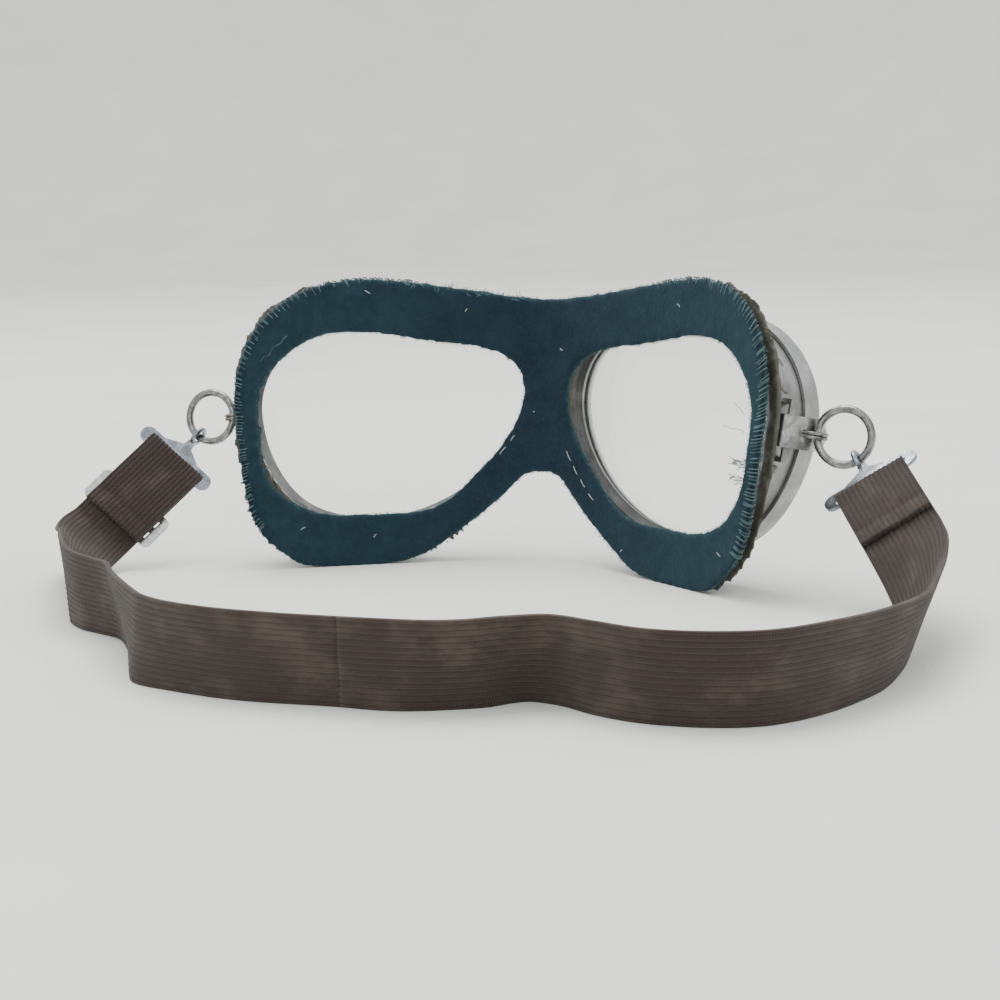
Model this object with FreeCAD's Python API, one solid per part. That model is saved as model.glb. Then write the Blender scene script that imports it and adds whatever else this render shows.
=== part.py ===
"""Motorcycle goggles: two aluminium eye cups with flat lenses, a leatherette skirt and a one-piece
felt face pad, held on the head by an elastic strap that hangs on a ring and a clasp at each side.

+X is the wearer's right, +Y is forward, +Z is up. Everything is worked out about the plane between
the eyes and moved at the end, so that the origin is the bottom centre of the whole object's box.
"""
import FreeCAD, Part
import math
import os

V = FreeCAD.Vector

# ---- driving dimensions, millimetres and degrees ---------------------------------------------------
# felt face pad: plan curve y = -(hypot(k x, b) - b) - c x^2, leaning forwards as it rises
PAD_NOSE_SLOPE = 0.24
PAD_NOSE_ROUND = 1.5
PAD_WRAP = 0.0042
PAD_LEAN = 0.196
PAD_THICK = 3.0
PAD_TOP = [(0, 77), (22, 79.6), (40, 82.6), (53, 83.9), (64, 82), (74.5, 74), (80, 60), (79.8, 43),
           (77.6, 27), (72.8, 11), (66, 3.2), (58, 0)]
PAD_BOTTOM = [(42, 0), (33, 2.2), (24, 8.4), (16, 15), (8.5, 22.6), (0, 26.3)]
OPENING = [(75.2, 46), (71.5, 60), (62, 67.3), (50, 68), (34, 65), (17, 62), (8.6, 56), (7.6, 45),
           (12, 35), (20.5, 24.5), (30, 16.3), (44, 14.7), (59, 15.7), (69.5, 22.5), (73.9, 34)]

# eye cup, drawn on the lens plane: U outwards, V up, W forwards
LENS_TURN = 22.5
LENS_LEAN = 10.8
LENS_CENTRE = V(45, 1.2, 41)
RIM = [(44.4, 2), (40.5, 18), (27, 29.8), (6, 33), (-20, 30.5), (-37, 23), (-42.5, 9), (-37, -8),
       (-22, -23), (-2, -31.5), (15, -32), (30, -26.5), (40.5, -13)]
CUP_WALL = 1.0
# holes pressed through the wall: steps round from the keeper, upwards positive, how far behind the
# front edge, radius, and the length of a slot between its round ends
VENTS = [(7, 5.2, 0.9, 11.0), (5, 9.8, 0.7, 2.0), (4, 6.0, 0.6, 1.6), (-4, 6.8, 0.9, 0), (-4, 10.2, 0.9, 0),
         (-6, 7.0, 0.6, 2.0), (-7, 7.4, 0.6, 2.0)]
CUP_TAPER = 9.0
SEAT_WIDTH = 3.2
SEAT_THICK = 1.0
SEAL_THICK = 0.6
LENS_THICK = 2.4
LENS_INSET = 0.9
BEZEL_WALL = 1.1
BEZEL_LIP = 2.4
BEZEL_SKIRT = 2.2
BEZEL_ROLL = 0.9
CUSHION_THICK = 5.0
SKIRT_WALL = 1.3
SKIRT_NOSE_GAP = 3.2
SOFT_GAP = 0.4
FIT_GAP = 0.05
BEZEL_GAP = 0.25

# leatherette strip between the cups over the nose
BRIDGE_HALF_WIDTH = 8.5
BRIDGE_LOW = 47.0
BRIDGE_HIGH = 60.0
BRIDGE_THICK = 1.2
BRIDGE_BEHIND_RIM = 1.2

# side hardware, drawn on the cup's outer wall: A forwards along the wall, B up, C outwards
KEEPER_LENGTH = 26.0
KEEPER_WIDTH = 4.8
KEEPER_THICK = 0.8
KEEPER_BAR_WIDTH = 2.6
KEEPER_BAR_LENGTH = 17.0
KEEPER_DEPTH = 8.6
KEEPER_LEG = 1.4
KEEPER_LAP = 1.0
HINGE_HEIGHT = 2.7
CLASP_THICK = 0.7
CLASP_WIDTH = 8.8
CLASP_REACH = 12.4
CLASP_TAIL = 2.4
CLASP_BAR_GAP = 0.85
CLASP_FOLD_BACK = 2.0
RIVET_HEAD = 1.3
RIVET_BALL = 1.7
RIVET_RISE = 0.8
PIN_WIRE = 0.5
PIN_RADIUS = 3.4
PIN_PLACE = 7.6
RING_WIRE = 1.1
RING_RADIUS = 7.4
RING_GAP = 0.35
HOOK_ANGLE = -55.0
HOOK_RADIUS = 2.5
HOOK_WIRE = 0.7

# strap hangers and elastic strap
STRAP_WIDTH = 20.0
STRAP_THICK = 1.3
HANGER_THICK = 1.0
HANGER_LENGTH = STRAP_WIDTH + 7.0
HANGER_BAR = 5.2
HANGER_REACH = 10.0
NECK_HALF_WIDTH = 1.1
NECK_WAIST = (-2.6, 1.5)
NECK_FLARE = (0.2, 7.0)
SLOT_NEAR = 2.2
SLOT_WIDTH = 2.2
SLOT_CLEAR = 0.5
SEAM_PAST_BAR = 1.6
SEAM_LENGTH = 1.2
DOUBLED_THICK = 2.1 * STRAP_THICK
RIGHT_STRAP_END = 25.0
LEFT_STRAP_END = 30.0
LOOP_GAP = 0.65
FLOOR_GAP = 0.3
PAST_SEWN = (0.5, 4.5)
STRAP_STEPS = 3
SLIDER_LENGTH = STRAP_WIDTH + 6.0
SLIDER_WIDTH = 11.0
SLIDER_THICK = 1.2
SLIDER_BAR = 2.2
SLIDER_CORNER = 2.0
SLIDER_CLEAR = 0.4
SLIDER_GAP = 0.35
SLIDER_FROM_END = 1.0
RIGHT_STRAP_RUN = V(0.504, -0.763, -0.405)
RIGHT_STRAP_ACROSS = V(0.807, 0.249, 0.535)
LEFT_STRAP_RUN = V(-0.394, -0.700, -0.596)
LEFT_STRAP_ACROSS = V(-0.748, -0.132, 0.650)

# free elastic between the two sewn ends, right to left. Where it twists: its lower edge, and a place
# that its upper edge lies towards. Upright: the lower edge's x and y, and the upper edge's x and y.
STRAP_RIGHT = [((119.5, -60, 9.5), (132.5, -56, 24.5)), ((126, -72, 3.0), (134.5, -68, 21.0)),
               ((129.5, -86, 0.5), (136, -84, 19.5)), ((131, -103, 0.4), (137.5, -101, 19.3)),
               ((130, -120, 0.4), (135, -119, 19.7))]
STRAP_FRONT = [((124.5, -138), (127, -140)), ((116.5, -151), (117.5, -153)),
               ((107, -156.5), (106, -158.5)), ((93, -158.5), (92, -160)),
               ((81, -156), (79.5, -156.5)), ((69.5, -150.5), (68.5, -154)),
               ((61.5, -150), (61, -159)), ((54.5, -158.5), (53, -165.5)), ((39.5, -166.5), (40, -169)),
               ((23, -168), (24, -170.5)), ((1, -170.3), (1, -171)), ((-16, -168), (-17, -168)),
               ((-28.5, -165), (-27, -163.5))]
STRAP_LEFT = [((-34, -159, 0.4), (-33, -158.5, 20.2)), ((-42, -147, 0.4), (-41.5, -150.5, 20.0)),
              ((-51.5, -134.5, 0.4), (-53, -138.5, 19.8)), ((-59, -127.3, 0.4), (-60, -130.5, 20.0)),
              ((-67, -124, 0.4), (-66.5, -127, 20.0)), ((-75, -121, 0.4), (-75, -122.5, 20.2)),
              ((-84, -113, 0.4), (-85.5, -113, 20.2)), ((-92.5, -98, 0.4), (-97, -99, 19.8)),
              ((-101, -80, 0.5), (-109, -83, 18.0)), ((-107, -67, 0.9), (-118, -72, 16.4)),
              ((-111, -57, 2.2), (-124.5, -61, 16.9))]

SAMPLES = 48


def unit(vector):
    """The same direction with length one."""
    return vector.multiply(1 / vector.Length) if vector.Length else vector


def closed_edge(points):
    """One smooth closed edge through the points."""
    curve = Part.BSplineCurve()
    curve.interpolate(Points=points, PeriodicFlag=True)
    return curve.toShape()


def open_edge(points, start=None, end=None):
    """One smooth open edge through the points, with end tangents where they are given."""
    curve = Part.BSplineCurve()
    if start and end:
        curve.interpolate(Points=points, InitialTangent=start, FinalTangent=end)
    else:
        curve.interpolate(Points=points)
    return curve.toShape()


def ring_solid(curves):
    """The closed ring whose section has one corner on each closed curve, in order."""
    edges = [closed_edge(c) for c in curves]
    faces = [Part.makeRuledSurface(e, edges[(i + 1) % len(edges)]) for i, e in enumerate(edges)]
    solid = Part.Solid(Part.Shell(faces))
    if solid.Volume < 0:
        solid.reverse()
    return solid


def other_side(shape):
    """The same piece for the wearer's left."""
    return shape.mirror(V(0, 0, 0), V(1, 0, 0))


def placed(shape, origin, axes):
    """A piece drawn about its own X, Y, Z, stood at a place with those axes."""
    a, b, c = axes
    matrix = FreeCAD.Matrix(a.x, b.x, c.x, origin.x, a.y, b.y, c.y, origin.y,
                            a.z, b.z, c.z, origin.z, 0, 0, 0, 1)
    moved = shape.copy()
    moved.Placement = FreeCAD.Placement(matrix).multiply(shape.Placement)
    return moved


def box(low, high):
    """A box from its low corner to its high corner."""
    return Part.makeBox(high[0] - low[0], high[1] - low[1], high[2] - low[2], V(*low))


# ---- felt face pad ---------------------------------------------------------------------------------
def pad_y(x, z):
    """How far forward the pad's face-side surface is."""
    curve = math.hypot(PAD_NOSE_SLOPE * x, PAD_NOSE_ROUND) - PAD_NOSE_ROUND + PAD_WRAP * x * x
    return PAD_LEAN * z - curve


def upright(points):
    """Outline points (x, z) as vectors on the XZ plane."""
    return [V(x, 0, z) for x, z in points]


def half_outline_edges():
    """The right half of the pad's outline: over the top, along the flat foot and up to the nose."""
    top = open_edge(upright(PAD_TOP), V(30, 0, 0), V(-12, 0, 0))
    foot = Part.LineSegment(V(PAD_TOP[-1][0], 0, 0), V(PAD_BOTTOM[0][0], 0, 0)).toShape()
    nose = open_edge(upright(PAD_BOTTOM), V(-12, 0, 0), V(-12, 0, 0))
    return [top, foot, nose]


def prism(wire):
    """A solid with the XZ outline of the wire, reaching far before and behind the goggles."""
    reach = 120
    face = Part.Face(wire)
    face.translate(V(0, -reach, 0))
    return face.extrude(V(0, 2 * reach, 0))


def pad_slab(back, front):
    """The space between two copies of the pad's surface, moved forwards by back and front."""
    half, low, high, stations = 92, -12, 100, 24
    xs = [-half + 2 * half * i / stations for i in range(stations + 1)]
    rear = open_edge([V(x, pad_y(x, low) + back, low) for x in xs])
    fore = rear.translated(V(0, front - back, 0))
    ends = [Part.LineSegment(V(x, pad_y(x, low) + back, low), V(x, pad_y(x, low) + front, low)).toShape()
            for x in (-half, half)]
    face = Part.Face(Part.Wire(Part.sortEdges([rear, ends[0], fore, ends[1]])[0]))
    return face.extrude(V(0, PAD_LEAN * (high - low), high - low))


def felt_pad():
    """One piece of felt across both eyes, with an opening at each."""
    right = half_outline_edges()
    left = [other_side(e) for e in right]
    outline = Part.Wire(Part.sortEdges(right + left)[0])
    opening = prism(Part.Wire([closed_edge(upright(OPENING))]))
    felt = pad_slab(0, PAD_THICK).common(prism(outline))
    return felt.cut(opening).cut(other_side(opening))


# ---- eye cups --------------------------------------------------------------------------------------
TURN = math.radians(LENS_TURN)
LEAN = math.radians(LENS_LEAN)
AXIS_U = V(math.cos(TURN), -math.sin(TURN), 0)
LEVEL_FORWARD = V(math.sin(TURN), math.cos(TURN), 0)
AXIS_V = LEVEL_FORWARD * math.sin(LEAN) + V(0, 0, math.cos(LEAN))
AXIS_W = LEVEL_FORWARD * math.cos(LEAN) - V(0, 0, math.sin(LEAN))
DRAFT = math.tan(math.radians(CUP_TAPER))


def rim_samples():
    """Evenly spaced points on the rim's outline with their outward directions, as (u, v, nu, nv)."""
    edge = closed_edge([V(u, v, 0) for u, v in RIM])
    first, last = edge.ParameterRange
    samples = []
    for i in range(SAMPLES):
        at = edge.getParameterByLength(edge.Length * i / SAMPLES)
        point, along = edge.valueAt(at), edge.tangentAt(at)
        samples.append((point.x, point.y, along.y, -along.x))
    outward = samples[0][2] > 0
    return [(u, v, nu, nv) if outward else (u, v, -nu, -nv) for u, v, nu, nv in samples]


def cup_point(sample, out, w):
    """A place on the cup's wall: out beyond the outer face, w before the cup's front edge."""
    u, v, nu, nv = sample
    out += DRAFT * min(w, 0)
    return LENS_CENTRE + AXIS_U * (u + nu * out) + AXIS_V * (v + nv * out) + AXIS_W * w


def rear_edge_w(sample):
    """How far behind the front edge the wall meets the leatherette cushion."""
    shallow, deep = 0.0, 40.0
    for _ in range(40):
        middle = (shallow + deep) / 2
        p = cup_point(sample, 0, -middle)
        if p.y > pad_y(p.x, p.z) + PAD_THICK + CUSHION_THICK:
            shallow = middle
        else:
            deep = middle
    return -max(middle, SEAT_THICK + BEZEL_SKIRT)


RIM_SAMPLES = rim_samples()
REAR_W = [rear_edge_w(s) for s in RIM_SAMPLES]


def cup_curve(out, w):
    """The closed line on the wall at one offset and one depth."""
    return [cup_point(s, out, w) for s in RIM_SAMPLES]


def rear_curve(out):
    """The closed line along the wall's rear edge at one offset."""
    return [cup_point(s, out, w) for s, w in zip(RIM_SAMPLES, REAR_W)]


def plate_on_lens_plane(out, low_w, high_w):
    """A flat plate with the rim's outline, moved outwards by out."""
    edge = closed_edge(cup_curve(out, 0))
    face = Part.Face(Part.Wire([edge]))
    face.translate(AXIS_W * low_w)
    return face.extrude(AXIS_W * (high_w - low_w))


def outermost_index():
    """The sample nearest the keeper: the one that is furthest out at the rim's widest height."""
    return max(range(SAMPLES), key=lambda i: RIM_SAMPLES[i][0])


SIDE = outermost_index()


def wall_axes(index):
    """Directions on the wall at a sample: forwards along it, up round it, and outwards."""
    sample = RIM_SAMPLES[index]
    forward = unit(cup_point(sample, 0, 0) - cup_point(sample, 0, -10))
    around = RIM_SAMPLES[(index + 1) % SAMPLES]
    before = RIM_SAMPLES[index - 1]
    up = cup_point(around, 0, 0) - cup_point(before, 0, 0)
    up = unit(up if up.z > 0 else up * -1)
    up = unit(up - forward * up.dot(forward))
    return forward, up, forward.cross(up)


def wall_hole(index, w, radius, length):
    """A round or slotted cutter through the wall, its length running round the cup."""
    reach = 3
    a, b, c = wall_axes(index)
    cutter = Part.makeCylinder(radius, 2 * reach, V(0, -length / 2, -reach))
    if length:
        cutter = cutter.fuse(Part.makeCylinder(radius, 2 * reach, V(0, length / 2, -reach)))
        cutter = cutter.fuse(box((-radius, -length / 2, -reach), (radius, length / 2, reach)))
    return placed(cutter, cup_point(RIM_SAMPLES[index], 0, w), (a, b, c))


def cup():
    """The pressed aluminium wall, turned in at its front as the lens seat, with its vents."""
    shell = ring_solid([cup_curve(0, 0), cup_curve(-SEAT_WIDTH, 0), cup_curve(-SEAT_WIDTH, -SEAT_THICK),
                        cup_curve(-CUP_WALL, -SEAT_THICK), rear_curve(-CUP_WALL), rear_curve(0)])
    sign = 1 if RIM_SAMPLES[(SIDE + 1) % SAMPLES][1] > RIM_SAMPLES[SIDE][1] else -1
    for steps, behind, radius, length in VENTS:
        shell = shell.cut(wall_hole((SIDE + sign * steps) % SAMPLES, -behind, radius, length))
    return shell


def bezel():
    """The rolled rim that grips the lens against its seat."""
    front = SEAL_THICK + LENS_THICK + FIT_GAP
    roll = BEZEL_ROLL
    return ring_solid([cup_curve(BEZEL_GAP, -BEZEL_SKIRT), cup_curve(BEZEL_GAP, front),
                       cup_curve(-BEZEL_LIP, front), cup_curve(-BEZEL_LIP, front + roll),
                       cup_curve(BEZEL_WALL - roll / 2, front + roll),
                       cup_curve(BEZEL_WALL, front + roll / 2),
                       cup_curve(BEZEL_WALL, -BEZEL_SKIRT)])


def lens():
    """A flat pane of glass inside the rim."""
    return plate_on_lens_plane(-LENS_INSET, SEAL_THICK, SEAL_THICK + LENS_THICK)


def lens_seal():
    """The thin flat seal between the lens and its seat."""
    outer = plate_on_lens_plane(-LENS_INSET, 0, SEAL_THICK)
    return outer.cut(plate_on_lens_plane(-SEAT_WIDTH, -1, SEAL_THICK + 1))


def radius_at(outline, centre, angle):
    """How far the outline is from the centre in one direction, the outline being (x, z) points."""
    cx, cz = centre
    dx, dz = math.cos(angle), math.sin(angle)
    furthest = 0
    for (x0, z0), (x1, z1) in zip(outline, outline[1:] + outline[:1]):
        s0 = (x0 - cx) * dz - (z0 - cz) * dx
        s1 = (x1 - cx) * dz - (z1 - cz) * dx
        if s0 * s1 <= 0 and s0 != s1:
            x = x0 + (x1 - x0) * s0 / (s0 - s1)
            z = z0 + (z1 - z0) * s0 / (s0 - s1)
            furthest = max(furthest, (x - cx) * dx + (z - cz) * dz)
    return furthest


def leatherette_skirt():
    """The padded roll of leatherette that joins a cup's rear edge to the back of the felt."""
    fine = 60
    centre = (42, 42)
    pad = [(p.x, p.z) for e in half_outline_edges() for p in e.discretize(fine)]
    pad = [(max(x, SKIRT_NOSE_GAP), z) for x, z in pad]
    opening = [(p.x, p.z) for p in closed_edge(upright(OPENING)).discretize(2 * fine)]
    face_outer, face_inner = [], []
    for p in rear_curve(0):
        angle = math.atan2(p.z - centre[1], p.x - centre[0])
        for outline, inset, points in ((pad, SOFT_GAP, face_outer), (opening, -SOFT_GAP, face_inner)):
            r = radius_at(outline, centre, angle) - inset
            x, z = centre[0] + r * math.cos(angle), centre[1] + r * math.sin(angle)
            points.append(V(x, pad_y(x, z) + PAD_THICK + SOFT_GAP, z))
    lap = V(0, -SOFT_GAP, 0)
    front_outer = [p + lap for p in rear_curve(SKIRT_WALL)]
    front_inner = [p + lap for p in rear_curve(-CUP_WALL - SKIRT_WALL)]
    return ring_solid([front_outer, face_outer, face_inner, front_inner])


def nose_bridge(cups):
    """The strip that ties the two cups together over the nose."""
    nearest_nose = min(RIM_SAMPLES, key=lambda sample: sample[0])
    front = cup_point(nearest_nose, 0, -BRIDGE_BEHIND_RIM).y
    strip = box((-BRIDGE_HALF_WIDTH, front - BRIDGE_THICK, BRIDGE_LOW),
                (BRIDGE_HALF_WIDTH, front, BRIDGE_HIGH))
    for piece in cups:
        strip = strip.cut(piece)
    middle = [s for s in strip.Solids if abs(s.CenterOfMass.x) < 1]
    return middle[0]


# ---- side hardware ---------------------------------------------------------------------------------
SIDE_AXES = wall_axes(SIDE)
SIDE_ORIGIN = cup_point(RIM_SAMPLES[SIDE], 0, -KEEPER_DEPTH)
PLATE_TOP = HINGE_HEIGHT + CLASP_BAR_GAP + CLASP_THICK
WIRE_HEIGHT = PLATE_TOP + RING_WIRE + RING_GAP


def on_side(shape):
    """A piece drawn about the keeper, placed on the right cup."""
    return placed(shape, SIDE_ORIGIN, SIDE_AXES)


def side_point(a, b, c):
    """A place given about the keeper."""
    return SIDE_ORIGIN + SIDE_AXES[0] * a + SIDE_AXES[1] * b + SIDE_AXES[2] * c


def capsule(length, width, low, high):
    """An upright plate along B with round ends, from C low to C high."""
    r = width / 2
    straight = length / 2 - r
    shape = box((-r, -straight, low), (r, straight, high))
    for end in (-straight, straight):
        shape = shape.fuse(Part.makeCylinder(r, high - low, V(0, end, low)))
    return shape.removeSplitter()


def wall_skin(low, high):
    """A solid layer over the outer wall of the cup, between two heights above it."""
    return ring_solid([rear_curve(low), cup_curve(low, -0.5), cup_curve(high, -0.5), rear_curve(high)])


def keeper():
    """The strip riveted to the wall at both ends, with a narrow bar standing off between them."""
    top = FIT_GAP + KEEPER_THICK
    deep = 8
    clear = KEEPER_BAR_LENGTH / 2 - KEEPER_LAP
    window = box((-KEEPER_WIDTH, -clear, -deep), (KEEPER_WIDTH, clear, deep))
    tabs = wall_skin(FIT_GAP, top).common(
        on_side(capsule(KEEPER_LENGTH, KEEPER_WIDTH, -deep, deep).cut(window)))
    half_bar = KEEPER_BAR_WIDTH / 2
    half_long = KEEPER_BAR_LENGTH / 2
    low, high = HINGE_HEIGHT - KEEPER_THICK / 2, HINGE_HEIGHT + KEEPER_THICK / 2
    bar = box((-half_bar, -half_long, low), (half_bar, half_long, high))
    for end in (-1, 1):
        inner, outer = sorted((end * (half_long - KEEPER_LEG), end * half_long))
        bar = bar.fuse(box((-half_bar, inner, -deep / 2), (half_bar, outer, high)))
    bar = on_side(bar).cut(wall_skin(-deep, FIT_GAP + KEEPER_THICK / 2))
    strip = tabs.fuse(bar).removeSplitter()
    return max(strip.Solids, key=lambda s: s.Volume)


def keeper_rivets(keeper_piece):
    """A domed rivet head on each end of the keeper strip."""
    place = KEEPER_LENGTH / 2 - KEEPER_WIDTH / 2
    heads = []
    for b in (-place, place):
        probe = on_side(Part.makeCylinder(RIVET_HEAD / 2, 40, V(0, b, -20)))
        middle = probe.common(keeper_piece).Solids[0].CenterOfMass
        top = side_height(middle) + KEEPER_THICK / 2
        ball = Part.makeSphere(RIVET_BALL, V(0, b, top + RIVET_RISE - RIVET_BALL))
        disc = Part.makeCylinder(RIVET_HEAD, 2 * RIVET_BALL, V(0, b, top - RIVET_BALL))
        heads.append(on_side(ball.common(disc)).cut(keeper_piece))
    return Part.makeCompound([max(h.Solids, key=lambda s: side_height(s.CenterOfMass)) for h in heads])


def side_height(point):
    """How far a point stands out from the wall."""
    return (point - SIDE_ORIGIN).dot(SIDE_AXES[2])


def clasp():
    """The clasp plate: its tail is folded back round the keeper's bar and its front end is round."""
    half = CLASP_WIDTH / 2
    inner, outer = CLASP_BAR_GAP, CLASP_BAR_GAP + CLASP_THICK
    bend = -CLASP_FOLD_BACK
    h = HINGE_HEIGHT
    corners = [V(CLASP_TAIL, 0, h - outer), V(bend, 0, h - outer), V(bend - outer, 0, h),
               V(bend, 0, h + outer), V(CLASP_REACH, 0, h + outer), V(CLASP_REACH, 0, h + inner),
               V(bend, 0, h + inner), V(bend - inner, 0, h), V(bend, 0, h - inner),
               V(CLASP_TAIL, 0, h - inner)]
    edges = [Part.LineSegment(corners[0], corners[1]), Part.Arc(*corners[1:4]),
             Part.LineSegment(corners[3], corners[4]), Part.LineSegment(corners[4], corners[5]),
             Part.LineSegment(corners[5], corners[6]), Part.Arc(*corners[6:9]),
             Part.LineSegment(corners[8], corners[9]), Part.LineSegment(corners[9], corners[0])]
    face = Part.Face(Part.Wire([e.toShape() for e in edges]))
    face.translate(V(0, -half, 0))
    plate = face.extrude(V(0, CLASP_WIDTH, 0))
    straight = box((-20, -half, -5), (CLASP_REACH - half, half, 15))
    nose = Part.makeCylinder(half, 20, V(CLASP_REACH - half, 0, -5))
    plate = plate.common(straight.fuse(nose))
    for a in (PIN_PLACE - PIN_RADIUS, PIN_PLACE + PIN_RADIUS):
        leg_hole = box((a - PIN_WIRE - FIT_GAP, -2 * PIN_WIRE - FIT_GAP, 0),
                       (a + PIN_WIRE + FIT_GAP, 2 * PIN_WIRE + FIT_GAP, 15))
        plate = plate.cut(leg_hole)
    return on_side(plate.removeSplitter())


def split_pin():
    """A doubled soft wire bridging over the ring, its legs through the clasp plate and clinched."""
    top, under = PLATE_TOP, HINGE_HEIGHT + CLASP_BAR_GAP
    clinch = 1.6
    strands = []
    for b in (-PIN_WIRE * 0.98, PIN_WIRE * 0.98):
        start, end = PIN_PLACE - PIN_RADIUS, PIN_PLACE + PIN_RADIUS
        arch = Part.makeTorus(PIN_RADIUS, PIN_WIRE, V(PIN_PLACE, b, top), V(0, 1, 0))
        arch = arch.common(box((start - 1, b - 1, top), (end + 1, b + 1, top + 10)))
        strand = arch
        for a, way in ((start, 1), (end, -1)):
            leg = Part.makeCylinder(PIN_WIRE, top - under + 1, V(a, b, under - 1))
            foot = Part.makeCylinder(PIN_WIRE, clinch, V(a, b, under - PIN_WIRE - FIT_GAP), V(way, 0, 0))
            strand = strand.fuse(leg.common(box((a - 1, b - 1, under - 2 * PIN_WIRE), (a + 1, b + 1, top))))
            strand = strand.fuse(foot)
        strands.append(strand)
    return on_side(strands[0].fuse(strands[1]).removeSplitter())


RING_START = side_point(PIN_PLACE, 0, WIRE_HEIGHT)
RING_OUT = unit(V(1.0, -0.06, 0))
RING_UP = unit(SIDE_AXES[1] - RING_OUT * SIDE_AXES[1].dot(RING_OUT))
RING_AXIS = RING_OUT.cross(RING_UP)
RING_CENTRE = RING_START + RING_OUT * RING_RADIUS


def ring():
    """The round wire ring."""
    return Part.makeTorus(RING_RADIUS, RING_WIRE, RING_CENTRE, RING_AXIS)


def hook_place():
    """Where the hanger's eye goes round the ring, and the ring's direction there."""
    angle = math.radians(HOOK_ANGLE)
    out = RING_OUT * math.cos(angle) + RING_UP * math.sin(angle)
    along = RING_UP * math.cos(angle) - RING_OUT * math.sin(angle)
    return RING_CENTRE + out * RING_RADIUS, along


# ---- strap hangers ---------------------------------------------------------------------------------
class StrapSide:
    """One side's hook, hanger and sewn strap end: P runs down the strap, Q across it, N off it."""

    def __init__(self, run, across, end, left):
        hook, along = hook_place()
        if left:
            hook, along = V(-hook.x, hook.y, hook.z), V(-along.x, along.y, along.z)
        self.hook, self.along = hook, along
        self.end = end
        self.run = unit(V(run))
        self.across = unit(across - self.run * across.dot(self.run))
        self.off = self.run.cross(self.across)
        self.origin = self.hook + self.run * (HANGER_REACH - HANGER_BAR / 2)

    def place(self, shape):
        """A piece drawn in P, Q, N, placed on this side."""
        return placed(shape, self.origin, (self.run, self.across, self.off))

    def point(self, p, q, n):
        """A place given in P, Q, N."""
        return self.origin + self.run * p + self.across * q + self.off * n


RIGHT = StrapSide(RIGHT_STRAP_RUN, RIGHT_STRAP_ACROSS, RIGHT_STRAP_END, False)
LEFT = StrapSide(LEFT_STRAP_RUN, LEFT_STRAP_ACROSS, LEFT_STRAP_END, True)


def hanger(side):
    """A flat pressed hanger: an eye round the ring, a flared neck and a slotted bar for the strap."""
    half_thick = HANGER_THICK / 2
    half = HANGER_LENGTH / 2 - HANGER_BAR / 2
    bar = box((0, -half, -half_thick), (HANGER_BAR, half, half_thick))
    for q in (-half, half):
        bar = bar.fuse(Part.makeCylinder(HANGER_BAR / 2, HANGER_THICK, V(HANGER_BAR / 2, q, -half_thick)))
    neck_start = -(HANGER_REACH - HANGER_BAR / 2) + HOOK_RADIUS
    edge = [(neck_start, NECK_HALF_WIDTH), NECK_WAIST, NECK_FLARE]
    flare = [V(p, -q, -half_thick) for p, q in edge] + [V(p, q, -half_thick) for p, q in reversed(edge)]
    neck = Part.Face(Part.makePolygon(flare + flare[:1])).extrude(V(0, 0, HANGER_THICK))
    slot_half = STRAP_WIDTH / 2 + SLOT_CLEAR
    slot = box((SLOT_NEAR, -slot_half, -HANGER_THICK), (SLOT_NEAR + SLOT_WIDTH, slot_half, HANGER_THICK))
    plate = side.place(bar.fuse(neck).cut(slot))
    eye = Part.makeTorus(HOOK_RADIUS, HOOK_WIRE, side.hook, side.along)
    return plate.fuse(eye).removeSplitter()


def strap_end(side):
    """The end of the elastic, turned through the hanger's slot and sewn back on itself."""
    half = STRAP_WIDTH / 2
    rod = HANGER_BAR - (HANGER_BAR - SLOT_NEAR - SLOT_WIDTH) / 2
    inner, outer = LOOP_GAP, LOOP_GAP + STRAP_THICK
    bend = SLOT_NEAR + outer + 2 * FIT_GAP
    sewn = rod + SEAM_PAST_BAR
    corners = [V(sewn, 0, -inner), V(bend, 0, -inner), V(bend - inner, 0, 0), V(bend, 0, inner),
               V(sewn, 0, inner), V(sewn, 0, outer), V(bend, 0, outer), V(bend - outer, 0, 0),
               V(bend, 0, -outer), V(sewn, 0, -outer)]
    parts = [Part.LineSegment(corners[0], corners[1]), Part.Arc(*corners[1:4]),
             Part.LineSegment(corners[3], corners[4]), Part.LineSegment(corners[4], corners[5]),
             Part.LineSegment(corners[5], corners[6]), Part.Arc(*corners[6:9]),
             Part.LineSegment(corners[8], corners[9]), Part.LineSegment(corners[9], corners[0])]
    loop = Part.Face(Part.Wire([e.toShape() for e in parts]))
    loop.translate(V(0, -half, 0))
    loop = loop.extrude(V(0, STRAP_WIDTH, 0))
    doubled = box((sewn, -half, -DOUBLED_THICK / 2), (side.end, half, DOUBLED_THICK / 2))
    seam = box((sewn - FIT_GAP, -half, -outer), (sewn + SEAM_LENGTH, half, outer))
    return side.place(loop.fuse(doubled).fuse(seam).removeSplitter())


SLIDER_PLACE = LEFT_STRAP_END - SLIDER_WIDTH - SLIDER_FROM_END
SLIDER_DROP = LOOP_GAP + STRAP_THICK + SLIDER_GAP


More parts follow.
